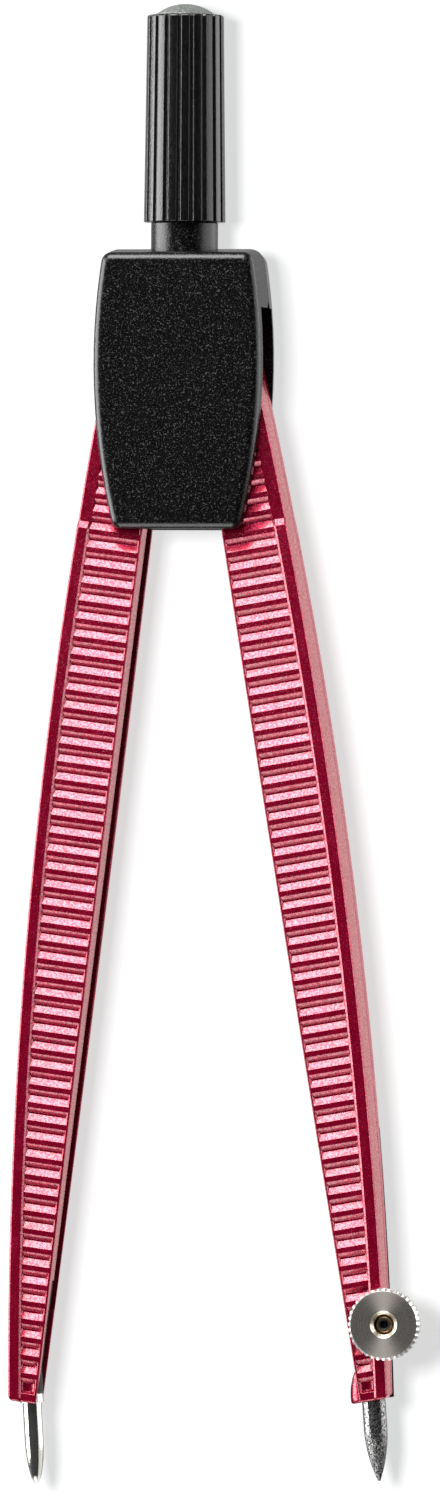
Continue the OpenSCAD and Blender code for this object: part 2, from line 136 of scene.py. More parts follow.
# Meshes are drawn in millimetres, and each object's last matrix puts it in place in metres

def newObject(name, mesh):
    thing = bpy.data.objects.new(name, mesh)
    bpy.context.scene.collection.objects.link(thing)
    return thing


def solid(name, points, faces, matrix=None):
    mesh = bpy.data.meshes.new(name)
    mesh.from_pydata(points, [], faces)
    work = bmesh.new()
    work.from_mesh(mesh)
    bmesh.ops.remove_doubles(work, verts=work.verts, dist=0.0005)
    bmesh.ops.recalc_face_normals(work, faces=work.faces)
    work.to_mesh(mesh)
    work.free()
    if matrix:
        mesh.transform(matrix)
    return newObject(name, mesh)


def rounded(points, radii, steps=4):
    # an open run of points with its inner corners rounded
    run = [points[0]]
    for before, corner, after, radius in zip(points, points[1:], points[2:], radii):
        a = (Vector(before) - Vector(corner)).normalized()
        b = (Vector(after) - Vector(corner)).normalized()
        half = a.angle(b) / 2
        middle = Vector(corner) + (a + b).normalized() * radius / math.sin(half)
        start = Vector(corner) + a * radius / math.tan(half) - middle
        end = Vector(corner) + b * radius / math.tan(half) - middle
        for i in range(steps + 1):
            spoke = (start * (1 - i / steps) + end * i / steps).normalized() * radius
            run.append(tuple(middle + spoke))
    return run + [points[-1]]


def band(a, b, count):
    # the faces between two rings of points that start at a and b
    return [(a + k, a + (k + 1) % count, b + (k + 1) % count, b + k) for k in range(count)]


def lathe(name, profile, steps=96, sweep=360.0, start=0.0, matrix=None):
    # turns a closed outline of (radius, height) round Z
    whole = sweep == 360.0
    turns = [math.radians(start + sweep * i / steps) for i in range(steps + (not whole))]
    points = [(r * math.cos(a), r * math.sin(a), z) for a in turns for r, z in profile]
    count = len(profile)
    faces = []
    for i in range(steps):
        faces += band(i * count, (i + 1) % len(turns) * count, count)
    if not whole:
        faces += [tuple(range(count)), tuple(range(len(points) - count, len(points)))]
    return solid(name, points, faces, matrix)


def loft(name, rings, matrix=None):
    # a closed skin through rings of the same number of points
    count = len(rings[0])
    points = [point for ring in rings for point in ring]
    faces = [tuple(range(count)), tuple(range(len(points) - count, len(points)))]
    for i in range(len(rings) - 1):
        faces += band(i * count, (i + 1) * count, count)
    return solid(name, points, faces, matrix)


def prism(name, outline, near, far):
    # an outline in X and Z, drawn through the depth
    return loft(name, [[(x, y, z) for x, z in outline] for y in (near, far)])


def baked(thing, name=None):
    # the object with its modifiers worked into a plain mesh
    bpy.context.view_layer.update()
    shown = thing.evaluated_get(bpy.context.evaluated_depsgraph_get())
    mesh = bpy.data.meshes.new_from_object(shown)
    name = name or thing.name
    bpy.data.objects.remove(thing)
    return newObject(name, mesh)


def cut(thing, *tools):
    for tool in tools:
        step = thing.modifiers.new("cut", "BOOLEAN")
        step.operation = "DIFFERENCE"
        step.solver = "EXACT"
        step.object = tool
    thing = baked(thing)
    for tool in tools:
        bpy.data.objects.remove(tool)
    return thing


def bevelled(thing, width, angle):
    step = thing.modifiers.new("edges", "BEVEL")
    step.width = width
    step.segments = 2
    step.limit_method = "ANGLE"
    step.angle_limit = math.radians(angle)
    return baked(thing)


def joined(name, *things):
    work = bmesh.new()
    for thing in things:
        work.from_mesh(thing.data)
        bpy.data.objects.remove(thing)
    mesh = bpy.data.meshes.new(name)
    work.to_mesh(mesh)
    work.free()
    return newObject(name, mesh)


def placed(thing, matrix):
    thing.data.transform(matrix)
    if matrix.is_negative:
        thing.data.flip_normals()
    return thing


def dress(thing, material, body, nodes, angle=35):
    # finish, shading and the piece's place in the frame
    thing.data.materials.clear()
    thing.data.materials.append(material)
    thing.data.polygons.foreach_set("material_index", [0] * len(thing.data.polygons))
    thing.data.shade_smooth()
    thing.data.set_sharp_from_angle(angle=math.radians(angle))
    # the weights come out wrong on faces this small in metres, so they are worked out in millimetres
    thing.data.transform(Matrix.Scale(1 / mm, 4))
    step = thing.modifiers.new("flat faces stay flat", "WEIGHTED_NORMAL")
    step.keep_sharp = True
    name, thing.name = thing.name, "draft"
    thing = baked(thing, name)
    thing.data.transform(Matrix.Scale(mm, 4))
    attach(thing, body)
    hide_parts(*nodes)
    return thing


def grown(name, seed, tree, sizes):
    # runs a tree on a seed mesh and keeps the result
    step = seed.modifiers.new("grow", "NODES")
    step.node_group = tree
    for item in tree.interface.items_tree:
        if item.in_out == "INPUT" and item.name in sizes:
            step[item.identifier] = sizes[item.name]
    return baked(seed, name)


def newTree(name, inputs):
    tree = bpy.data.node_groups.new(name, "GeometryNodeTree")
    tree.interface.new_socket("Geometry", in_out="INPUT", socket_type="NodeSocketGeometry")
    for label, kind in inputs.items():
        tree.interface.new_socket(label, in_out="INPUT", socket_type="NodeSocket" + kind)
    tree.interface.new_socket("Geometry", in_out="OUTPUT", socket_type="NodeSocketGeometry")
    nodes = Nodes(tree)
    return nodes, nodes.add("NodeGroupInput")


# Finishes

def newFinish(name):
    material = bpy.data.materials.new(name)
    material.use_nodes = True
    nodes = Nodes(material.node_tree)
    shader = material.node_tree.nodes["Principled BSDF"]
    return material, nodes, shader, nodes.add("ShaderNodeTexCoord", out="Object")


def noise(nodes, where, scale, detail=2.0, roughness=0.5):
    return nodes.add("ShaderNodeTexNoise", None,
                     {"Vector": where, "Scale": scale, "Detail": detail, "Roughness": roughness})


def colourBy(nodes, amount, stops):
    return nodes.add("ShaderNodeValToRGB", {"stops": stops}, {0: amount})


def bump(nodes, height, distance):
    return nodes.add("ShaderNodeBump", None, {"Height": height, "Distance": distance}, "Normal")


def crimsonPaint():
    # lacquer over fine metal flakes
    material, nodes, shader, where = newFinish("crimson metallic paint")
    flake = noise(nodes, where, 10000, 2, 0.6)
    cloud = noise(nodes, where, 700, 2)
    grain = noise(nodes, where, 7000, 3, 0.6)
    sparkle = nodes.add("ShaderNodeMapRange", None, {
        "Value": noise(nodes, where, 5500, 2), "From Min": 0.43, "From Max": 0.57, "To Min": 0.35})
    nodes.plug(shader, {
        "Base Color": colourBy(nodes, flake * 0.7 + cloud * 0.3, [
            (0.35, (0.13, 0.0, 0.009)), (0.52, (0.18, 0.0005, 0.015)), (0.68, (0.28, 0.008, 0.036))]),
        "Metallic": 0.4 + flake * 0.4,
        "Roughness": 0.14 + flake * 0.2,
        "Specular IOR Level": 0.5,
        "Specular Tint": (1.0, 0.5, 0.58, 1),
        "Coat Weight": sparkle,
        "Coat Roughness": 0.12,
        "Normal": bump(nodes, grain * 0.6 + flake * 0.4, 0.00004)})
    return material


def headPlastic():
    material, nodes, shader, where = newFinish("grained black plastic")
    grain = noise(nodes, where, 4800, 3, 0.65)
    fine = noise(nodes, where, 9000, 2)
    # the base colour has the grain's own dark tone plus light speckles that stand in for glints off the
    # grain: partly painted glints
    nodes.plug(shader, {
        "Base Color": colourBy(nodes, grain * 0.6 + fine * 0.4, [
            (0.42, (0.0003, 0.0003, 0.0003)), (0.54, (0.001, 0.001, 0.001)), (0.66, (0.035, 0.035, 0.035))]),
        "Roughness": 0.2 + fine * 0.12,
        "Specular IOR Level": 0.34,
        "Normal": bump(nodes, grain * 0.75 + fine * 0.25, 0.00003)})
    return material


def gripPlastic():
    material, nodes, shader, where = newFinish("glossy black plastic")
    haze = noise(nodes, where, 7000, 3, 0.6)
    nodes.plug(shader, {
        "Base Color": colourBy(nodes, haze, [
            (0.35, (0.0005, 0.0005, 0.0005)), (0.7, (0.005, 0.005, 0.005))]),
        "Roughness": 0.1 + haze * 0.12,
        "Specular IOR Level": 0.5,
        "Normal": bump(nodes, haze, 0.00003)})
    return material


def capPlastic():
    material, nodes, shader, where = newFinish("frosted pale plastic")
    haze = noise(nodes, where, 6000, 3, 0.6)
    nodes.plug(shader, {
        "Base Color": colourBy(nodes, haze, [(0.35, (0.03, 0.033, 0.03)), (0.65, (0.15, 0.16, 0.148))]),
        "Roughness": 0.3 + haze * 0.15,
        "Normal": bump(nodes, haze, 0.00008)})
    return material


def plainPlastic(name, dark, light):
    material, nodes, shader, where = newFinish(name)
    haze = noise(nodes, where, 2500, 3)
    nodes.plug(shader, {
        "Base Color": colourBy(nodes, haze, [(0.3, dark), (0.7, light)]),
        "Roughness": 0.4 + haze * 0.2,
        "Normal": bump(nodes, haze, 0.00001)})
    return material


def steel(name, dark, light, shine, edge=1.0):
    # drawn along its length; edge is how much it mirrors at a glance
    material, nodes, shader, where = newFinish(name)
    drawn = nodes.add("ShaderNodeMapping", None, {"Vector": where, "Scale": (1, 1, 0.12)})
    streak = noise(nodes, drawn, 9000, 3)
    nodes.plug(shader, {
        "Base Color": colourBy(nodes, streak, [(0.35, dark), (0.65, light)]),
        "Metallic": 1.0,
        "Specular Tint": (edge, edge, edge, 1),
        "Roughness": shine + streak * 0.12,
        "Normal": bump(nodes, streak, 0.000004)})
    return material


def turnedSteel():
    # fine rings round the nut's axis, from the cutting tool, and a painted highlight: the base colour is
    # lighter above and below the hole
    material, nodes, shader, where = newFinish("turned steel")
    axis = Vector(joints["nut_turn"]["pos_m"])
    centred = nodes.add("ShaderNodeVectorMath", {"operation": "SUBTRACT"}, {0: where, 1: axis})
    parts = nodes.add("ShaderNodeSeparateXYZ", None, {0: centred})
    across, up = parts, parts.other("Z")
    radius = (across * across + up * up).root()
    rings = nodes.add("ShaderNodeTexNoise", {"noise_dimensions": "1D"},
                      {"W": radius, "Scale": 14000, "Detail": 2}, "Fac")
    speck = noise(nodes, where, 9000, 2)
    steepness = up * up / (across * across + up * up + 1e-9)  # 1 above and below the hole, 0 beside it
    # painted highlight: the base colour is lighter above and below the hole, standing in for the turned
    # face's sheen
    paintedSheen = steepness * steepness * steepness * steepness
    nodes.plug(shader, {
        "Base Color": colourBy(nodes, paintedSheen * 0.5 + rings * 0.25 + speck * 0.25, [
            (0.12, (0.05, 0.045, 0.04)), (0.3, (0.16, 0.15, 0.142)), (0.8, (0.55, 0.5, 0.46))]),
        "Metallic": 0.85,
        "Roughness": 0.34 + rings * 0.1,
        "Normal": bump(nodes, rings, 0.000006)})
    return material


def needleSteel():
    # polished, with a ground tip; where it sits in its holder it is painted dark and dull, as painted shade
    material, nodes, shader, where = newFinish("polished steel")
    height = nodes.add("ShaderNodeSeparateXYZ", None, {0: where}, "Z")
    ground, slotShade = [
        nodes.add("ShaderNodeMapRange", None, {
            "Value": height, "From Min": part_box("needle")[0].z + start * mm,
            "From Max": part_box("needle")[0].z + end * mm})
        for start, end in (needle["groundFade"], needle["slotShadeFade"])]
    speck = noise(nodes, where, 7000, 3)
    # painted shade: dark, dull and not metallic where the needle sits in its holder inside the leg
    nodes.plug(shader, {
        "Base Color": colourBy(nodes, speck * 0.8 + ground * 0.4 - slotShade * 2, [
            (0, (0.012, 0.011, 0.011)), (0.15, (0.3, 0.29, 0.27)), (0.8, (0.55, 0.54, 0.52))]),
        "Metallic": 0.95 - slotShade * 0.95,
        "Roughness": 0.05 + speck * 0.08 + ground * 0.3 + slotShade * 0.7,
        "Normal": bump(nodes, speck, 0.000006)})
    return material


def brightSteel(name, dark, light):
    material, nodes, shader, where = newFinish(name)
    haze = noise(nodes, where, 8000, 2)
    nodes.plug(shader, {
        "Base Color": colourBy(nodes, haze, [(0.3, dark), (0.7, light)]),
        "Metallic": 1.0,
        "Roughness": 0.24 + haze * 0.14,
        "Normal": bump(nodes, haze, 0.000006)})
    return material


def graphite():
    # burnished along its length, coarse where it is ground
    material, nodes, shader, where = newFinish("graphite")
    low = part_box("lead")[0].z
    height = nodes.add("ShaderNodeSeparateXYZ", None, {0: where}, "Z")
    ground = nodes.add("ShaderNodeMapRange", None, {
        "Value": height, "From Min": low + lead["pointLength"] * mm, "From Max": low + lead["coarse"] * mm})
    speck = noise(nodes, where, 6500, 3, 0.65)
    nodes.plug(shader, {
        "Base Color": colourBy(nodes, speck, [(0.4, (0.008, 0.008, 0.008)), (0.66, (0.36, 0.355, 0.35))]),
        "Metallic": 0.85,
        "Roughness": 0.12 + speck * 0.1 + ground * 0.12,
        "Normal": bump(nodes, speck * (0.05 + ground * 0.95), 0.00009)})
    return material


# Legs: the cast part's frame has U outwards from the pivot and W upwards along the closed leg

leg = {
    "length": 89.6, "openLeft": 7.68, "openRight": 10.08,
    "pivotX": 2.75, "crotch": 1.2, "touch": 0.03,
    "bowRadius": 470.0, "bowDrop": 26.0, "bowOut": 3.98,
    "tongueDepth": 4.9, "tongueLength": 15.45,
    "bellyDepth": 5.86, "bellyDrop": 40.0, "bellyRadius": 1130.0,
    "stripWidth": 0.95, "stripHeight": 0.15, "rimWidth": 0.22, "stripWall": 0.18, "stripEase": 0.04,
    "edge": 0.22, "innerEdge": 0.12, "corner": 0.42, "neck": 3.2,
    "ribPitch": 1.52, "ribStart": 7.0, "ribs": 53,
    "grooveDepth": 0.3, "upperSlope": 0.36, "floor": 0.16, "lowerSlope": 0.56, "hip": 0.13,
    "lastFloor": 0.7, "lastSlope": 0.22, "flankLine": 1.5, "lineHalf": 0.08, "lineDepth": 0.05,
    "channelStart": 12.2, "channelEnd": 8.0, "channelDepth": 1.9, "channelShift": 0.65, "channelWall": 1.2,
}
lead = {
    "radius": 1.0, "out": 6.8, "in": 10.4, "tilt": 5.8, "inset": 0.92, "push": 2.4, "play": 0.05,
    "pointLength": 4.6, "coarse": 3.0, "bluntRadius": 0.1,
}
needle = {
    "radius": 0.8, "shankRadius": 1.0, "out": 6.9, "in": 6.5, "tilt": 11.3, "inset": 0.62,
    "slotLength": 10.5, "slotHalf": 1.1, "slotWall": 0.8,
    # the last pair is where the painted shade on the needle begins, in mm up from its lowest point
    "groundFade": (0.8, 0.4), "slotShadeFade": (7.6, 7.9),
}
clamp = {
    "screwUp": 6.2, "screwRadius": 0.8, "screwHeadRadius": 1.5, "screwHeadDepth": 0.9, "screwGap": 0.09,
    "screwSunk": 0.35, "pitch": 0.35, "threadLength": 2.6, "threadDepth": 0.14, "dimpleRadius": 0.42,
    "earRadius": 1.6, "earDepth": 1.0, "earRise": 0.1,
    "plateLength": 22.6, "plateTop": 0.25, "plateEnd": 0.85, "plateLap": 0.3,
    "lipLength": 2.9, "lipOut": 0.85,
    "nutRadius": 3.05, "nutDepth": 1.4, "knurls": 36, "knurlDepth": 0.13,
    "nutGap": 0.15, "nutEdge": 0.16, "nutChamfer": 0.24, "nutSink": 0.3,
}
innerSlope = (leg["crotch"] - leg["touch"]) / leg["length"]


def innerU(w):
    return leg["crotch"] - leg["pivotX"] + w * innerSlope


def outerU(w, inset=0.0):
    reach = math.sqrt((leg["bowRadius"] - inset) ** 2 - (w + leg["bowDrop"]) ** 2)
    return leg["bowOut"] - leg["bowRadius"] + reach


def stripHalf(w):
    reach = math.sqrt(leg["bellyRadius"] ** 2 - (w + leg["bellyDrop"]) ** 2)
    return leg["bellyDepth"] / 2 - leg["bellyRadius"] + reach


def leadU(w):
    lean = (w + leg["length"]) * math.tan(math.radians(lead["tilt"]))
    return innerU(-leg["length"]) + lead["inset"] + lean


def legMatrix(side):
    pivot = joints["lead_leg_swing" if side > 0 else "needle_leg_swing"]["pos_m"]
    angle = -leg["openRight"] if side > 0 else leg["openLeft"]
    return (Matrix.Translation(pivot) @ Matrix.Rotation(math.radians(angle), 4, "Y")
            @ Matrix.Diagonal((side * mm, mm, mm, 1)))


def legRing(w, groove=0.0, inset=0.0, back=0.0):
    # one section of the leg, as (across, face, low, offset, drop, level) for the tree to bend
    edge, inner, strip, rim = leg["edge"], leg["innerEdge"], leg["stripWidth"], leg["rimWidth"]
    floor, ease = -strip - leg["stripWall"], leg["stripEase"]
    hip = groove * leg["hip"] / leg["grooveDepth"]
    turns = [math.radians(90 * i / 4) for i in range(5)]
    front = [(1, 0, -edge * (1 - math.cos(turn)) - back, edge * (1 - math.sin(turn))) for turn in turns]
    front += [(1, 0, ease - strip, 0.0), (1, 0, -strip, 0.012)]
    front += [(1, 1, floor + ease, -0.02), (1, 1, floor, 0.0)]
    front += [(1, 1, floor - hip, groove), (0.5, 1, (floor + rim) / 2, groove)]
    front += [(0, 1, rim + hip, groove), (0, 1, rim, 0.0)]
    front += [(0, 1, inner * (1 - math.sin(turn)), inner * (1 - math.cos(turn))) for turn in turns]
    half, deep = leg["lineHalf"], leg["lineDepth"]
    place = leg["flankLine"]
    line = [(1, 0, -back, place + half), (1, 0, -deep - back, place), (1, 0, -back, place - half)]
    ring = []
    for face, run in ((-1, front), (1, (line + front)[::-1])):
        for across, low, offset, drop in run:
            if across == 1:
                offset = min(offset, -inset)
            elif across == 0:
                offset = max(offset, inset)
            ring.append((across, face, low, offset, max(drop, inset) if inset else drop, w))
    return ring


def ringMesh(name, rings, closed):
    count = len(rings[0])
    flat = [point for ring in rings for point in ring]
    faces = []
    for i in range(len(rings) - 1):
        faces += band(i * count, (i + 1) * count, count)
    for i in closed:
        faces.append(tuple(range(i * count, (i + 1) * count)))
    mesh = bpy.data.meshes.new(name)
    mesh.from_pydata([point[3:] for point in flat], [], faces)
    for i, label in enumerate(("across", "face", "low")):
        layer = mesh.attributes.new(label, "FLOAT", "POINT")
        layer.data.foreach_set("value", [point[i] for point in flat])
    return newObject(name, mesh)


def grooveRun(floor, low):
    # levels and depths down one groove, from the edge of the rib above to the edge of the rib below
    deep, up = leg["grooveDepth"], leg["upperSlope"]
    end = -up - floor - low
    corners = [(0.1, 0), (0, 0), (-up, deep), (-up - floor, deep), (end, 0), (end - 0.1, 0)]
    return rounded(corners, [0.05, 0.03, 0.03, 0.06], 3)[1:-1]


def ribCell():
    rows = grooveRun(leg["floor"], leg["lowerSlope"])
    top = rows[0][0]
    rows = [(w - top, g) for w, g in rows]
    return ringMesh("rib cell", [legRing(w, g) for w, g in rows + [(-leg["ribPitch"], 0.0)]], [])


def legEnds():
    top = grooveRun(leg["floor"], leg["lowerSlope"])[0][0] - leg["ribStart"]
    last = top - leg["ribs"] * leg["ribPitch"]
    neck = [legRing(-leg["neck"]), legRing(-leg["ribStart"] + 0.2), legRing(top)]
    rows = grooveRun(leg["lastFloor"], leg["lastSlope"])
    foot = [legRing(w - rows[0][0] + last, g) for w, g in rows]
    edge, corner, end = leg["edge"], leg["corner"], -leg["length"]
    for i in range(9):
        turn = math.radians(90 * i / 8)
        up = corner * (1 - math.sin(turn))
        inset = edge - math.sqrt(edge ** 2 - max(0.0, edge - up) ** 2)
        foot.append(legRing(end + up, 0.0, inset, corner * (1 - math.cos(turn))))
    ends = ringMesh("leg ends", neck + foot, [0, len(neck + foot) - 1])
    work = bmesh.new()
    work.from_mesh(ends.data)
    gap = []  # the long faces that stand where the ribs go
    for face in work.faces:
        levels = [corner.co.z for corner in face.verts]
        if len(levels) == 4 and max(levels) - min(levels) > 10:
            gap.append(face)
    bmesh.ops.delete(work, geom=gap, context="FACES")
    work.to_mesh(ends.data)
    work.free()
    return ends, top


def legTree():
    nodes, start = newTree("ribbed leg", {
        "Ends": "Object", "Ribs": "Int", "Pitch": "Float", "First Rib": "Float",
        "Inner Edge": "Float", "Inner Slope": "Float",
        "Bow Radius": "Float", "Bow Drop": "Float", "Bow Out": "Float",
        "Tongue Half": "Float", "Tongue Length": "Float",
        "Belly Half": "Float", "Belly Drop": "Float", "Belly Radius": "Float", "Strip Height": "Float"})
    size = start.other
    first = nodes.add("ShaderNodeCombineXYZ", None, {"Z": size("First Rib")})
    step = nodes.add("ShaderNodeCombineXYZ", None, {"Z": -size("Pitch")})
    line = nodes.add("GeometryNodeMeshLine", {"mode": "OFFSET"},
                     {"Count": size("Ribs"), "Start Location": first, "Offset": step})
    ribs = nodes.add("GeometryNodeInstanceOnPoints", None, {"Points": line, "Instance": start})
    ends = nodes.add("GeometryNodeObjectInfo", None, {"Object": size("Ends")}, "Geometry")
    both = nodes.add("GeometryNodeJoinGeometry", None, {"Geometry": [ribs, ends]})
    whole = nodes.add("GeometryNodeRealizeInstances", None, {"Geometry": both})
    across, face, low = [
        nodes.add("GeometryNodeInputNamedAttribute", {"data_type": "FLOAT"}, {"Name": label}, "Attribute")
        for label in ("across", "face", "low")]
    place = nodes.add("ShaderNodeSeparateXYZ", None, {0: nodes.add("GeometryNodeInputPosition")})
    offset, drop, w = place, place.other("Y"), place.other("Z")
    inner = size("Inner Edge") + w * size("Inner Slope")
    bow = w + size("Bow Drop")
    reach = (size("Bow Radius") * size("Bow Radius") - bow * bow).root()
    outer = size("Bow Out") - size("Bow Radius") + reach
    belly = w + size("Belly Drop")
    swell = (size("Belly Radius") * size("Belly Radius") - belly * belly).root()
    strip = size("Belly Half") - size("Belly Radius") + swell
    below = w < -size("Tongue Length")
    half = size("Tongue Half") + (strip - low * size("Strip Height") - size("Tongue Half")) * below
    bent = nodes.add("ShaderNodeCombineXYZ", None, {
        "X": inner + (outer - inner) * across + offset, "Y": face * (half - drop), "Z": w})
    skin = nodes.add("GeometryNodeSetPosition", None, {"Geometry": whole, "Position": bent})
    welded = nodes.add("GeometryNodeMergeByDistance", None, {"Geometry": skin, "Distance": 0.002})
    painted = nodes.add("GeometryNodeSetMaterial", None,
                        {"Geometry": welded, "Material": finishes["paint"]})
    nodes.add("NodeGroupOutput", None, {"Geometry": painted})
    return nodes.tree


def report(name, work):
    loose = sum(not edge.is_manifold for edge in work.edges)
    print("  " + name + ":", len(work.faces), "faces,", loose, "open edges")


def ribbedLeg(tree):
    ends, top = legEnds()
    made = grown("ribbed leg", ribCell(), tree, {
        "Ends": ends, "Ribs": leg["ribs"], "Pitch": leg["ribPitch"], "First Rib": top,
        "Inner Edge": leg["crotch"] - leg["pivotX"], "Inner Slope": innerSlope,
        "Bow Radius": leg["bowRadius"], "Bow Drop": leg["bowDrop"], "Bow Out": leg["bowOut"],
        "Tongue Half": leg["tongueDepth"] / 2, "Tongue Length": leg["tongueLength"],
        "Belly Half": leg["bellyDepth"] / 2, "Belly Drop": leg["bellyDrop"],
        "Belly Radius": leg["bellyRadius"], "Strip Height": leg["stripHeight"]})
    bpy.data.objects.remove(ends)
    work = bmesh.new()
    work.from_mesh(made.data)
    bmesh.ops.recalc_face_normals(work, faces=work.faces)
    report("leg skin", work)
    work.to_mesh(made.data)
    work.free()
    return made


def gearHead(node, side):
    # the geared round head of the leg, taken from above the first rib
    work = bmesh.new()
    work.from_mesh(frame["nodes"][node].data)
    bmesh.ops.remove_doubles(work, verts=work.verts, dist=0.000001)
    place = legMatrix(side)
    level = place @ Vector((0, 0, 0.05 - leg["neck"]))
    up = (place.to_3x3() @ Vector((0, 0, 1))).normalized()
    everything = work.verts[:] + work.edges[:] + work.faces[:]
    sliced = bmesh.ops.bisect_plane(work, geom=everything, dist=0.000001, plane_co=level, plane_no=up,
                                    clear_inner=True)["geom_cut"]
    rim = [part for part in sliced if isinstance(part, bmesh.types.BMEdge) and part.is_boundary]
    bmesh.ops.holes_fill(work, edges=rim)
    report("gear head", work)
    mesh = bpy.data.meshes.new("gear head")
    work.to_mesh(mesh)
    work.free()
    return newObject("gear head", mesh)


def channelTool(side):
    shift = -side * leg["channelShift"]
    top, bottom = -leg["channelStart"], leg["channelEnd"] - leg["length"]
    levels = [top - 1 + (bottom - top + 1) * i / 16 for i in range(17)]
    outline = [(innerU(top) - 1, top + 0.2), (innerU(top), top)]
    outline += [(outerU(w, leg["channelWall"]), w) for w in levels]
    outline += [(innerU(bottom) - 1, bottom)]
    return prism("channel", outline, shift - leg["channelDepth"] / 2, shift + leg["channelDepth"] / 2)


def needleSlotTool():
    top = needle["slotLength"] - leg["length"]
    levels = [top - i * (needle["slotLength"] + 1) / 3 for i in range(4)]
    outline = [(outerU(w, needle["slotWall"]), w) for w in levels]
    outline += [(innerU(w) - 2, w) for w in reversed(levels)]
    return prism("needle slot", outline, -needle["slotHalf"], needle["slotHalf"])


def leadSlotTool():
    top, end = lead["in"] + lead["push"] - leg["length"], -leg["length"] - 1
    half = lead["radius"] + lead["play"]
    side = half / math.cos(math.radians(lead["tilt"]))
    outline = [(-8, top), (leadU(top) + side, top), (leadU(end) + side, end), (-8, end)]
    return prism("lead slot", outline, -half, half)


def plateTool():
    # the shallow step behind the lead leg that the clamp plate lies in
    top, end = clamp["plateLength"] - leg["length"], -leg["length"] - 1
    rings = []
    for i in range(9):
        w = top + (end - top) * i / 8
        share = (w + leg["length"]) / clamp["plateLength"]
        thick = clamp["plateEnd"] - (clamp["plateEnd"] - clamp["plateTop"]) * share
        face, side = stripHalf(w) - thick, leadU(w) - clamp["plateLap"]
        rings.append([(side, face, w), (8, face, w), (8, 8, w), (side, 8, w)])
    return loft("plate step", rings)


def screwPlace():
    w = clamp["screwUp"] - leg["length"]
    reach = lead["radius"] + clamp["screwGap"] + clamp["screwRadius"]
    return leadU(w) + reach / math.cos(math.radians(lead["tilt"])), w


def alongY(u, y, w):
    return Matrix.Translation((u, y, w)) @ Matrix.Rotation(math.radians(90), 4, "X")


def leadLip():
    # the rounded lip that closes the front of the lead's slot
    top, end = clamp["lipLength"] - leg["length"], -leg["length"]
    near, far = lead["radius"] + lead["play"], stripHalf(end) - leg["stripHeight"] - 0.03
    edge = leg["edge"]
    stations = [(top, 0.0, 0.0), (end + 2.2, 0.5, 0.0), (end + 1.4, 0.82, 0.0), (end + 0.7, 0.96, 0.0)]
    for i in range(4):
        turn = math.radians(90 * i / 3)
        stations.append((end + edge * (1 - math.sin(turn)), 1.0, edge * (1 - math.cos(turn))))
    rings = []
    for w, share, inset in stations:
        side = innerU(w) + 0.06 - (clamp["lipOut"] + 0.02) * share + inset
        bend = 0.25 + 0.75 * share
        root = innerU(w) + 0.15
        front = rounded([(root, near), (side, near), (side, far - inset), (root, far - inset)],
                        [0.08, bend], 7)
        rings.append([(u, -depth, w) for u, depth in front])
    return loft("lip", rings)


def makeLegs():
    tree = legTree()
    left = cut(ribbedLeg(tree), channelTool(-1), needleSlotTool())
    left = joined("needle_leg_casting", placed(left, legMatrix(-1)), gearHead("left_leg", -1))
    dress(left, finishes["paint"], "needle_leg", ["left_leg"], 28)

    u, w = screwPlace()
    face, radius = stripHalf(w + clamp["nutRadius"]) + clamp["earRise"], clamp["earRadius"]
    root, loose = face - clamp["earDepth"], radius + 0.05
    well = lathe("ear well", [(0, -8), (loose, -8), (loose, root), (0, root)], 48, matrix=alongY(u, 0, w))
    right = cut(ribbedLeg(tree), channelTool(1), leadSlotTool(), plateTool(), well)
    profile = rounded([(0, root), (radius, root), (radius, face), (0, face)], [0.06, 0.1])
    ear = lathe("ear", profile, 64, matrix=alongY(u, 0, w))
    right = joined("lead", right, ear, leadLip())
    right = joined("lead_leg_casting", placed(right, legMatrix(1)), gearHead("right_leg", 1))
    dress(right, finishes["paint"], "lead_leg", ["right_leg"], 28)


# Head: two moulded shells with the legs' slot between them

head = {
    "halfWidth": 7.5, "sideRadius": 56.0, "wideDrop": 1.0, "rise": 8.5, "drop": 15.2,
    "halfDepth": 4.0, "draft": 0.42, "edge": 0.75, "corner": 1.25, "parting": 0.1,
    "slotHalf": 2.55, "slotRise": 3.5, "notch": 0.6, "softened": 0.07,
    "slotWide": 12, "slotEnd": 30, "stemRadius": 2.83, "stemLength": 2.25, "spigotRadius": 1.9,
}


def headOutline():
    # the right half's side, with its corners, then the left half's
    def sideX(z):
        return head["halfWidth"] - head["sideRadius"] + math.sqrt(
            head["sideRadius"] ** 2 - (z + head["wideDrop"]) ** 2)
    levels = [-head["drop"] + i * (head["drop"] + head["rise"]) / 14 for i in range(15)]
    side = [(sideX(z), z) for z in levels]
    run = [(0, -head["drop"])] + side + [(0, head["rise"])]
    radii = [head["corner"]] + [0.0001] * 13 + [head["corner"]]
    half = []
    for point in rounded(run, radii, 6):
        if not half or (Vector(point) - Vector(half[-1])).length > 0.01:
            half.append(point)
    return half + [(-x, z) for x, z in reversed(half[1:-1])]


def shrunk(outline, inset):
    count = len(outline)
    moved = []
    for i, point in enumerate(outline):
        before, after = Vector(outline[i - 1]), Vector(outline[(i + 1) % count])
        a, b = (Vector(point) - before).normalized(), (after - Vector(point)).normalized()
        normal = Vector((-(a + b).y, (a + b).x)).normalized()
        moved.append(tuple(Vector(point) + normal * inset / max(0.5, normal.dot(Vector((-a.y, a.x))))))
    return moved


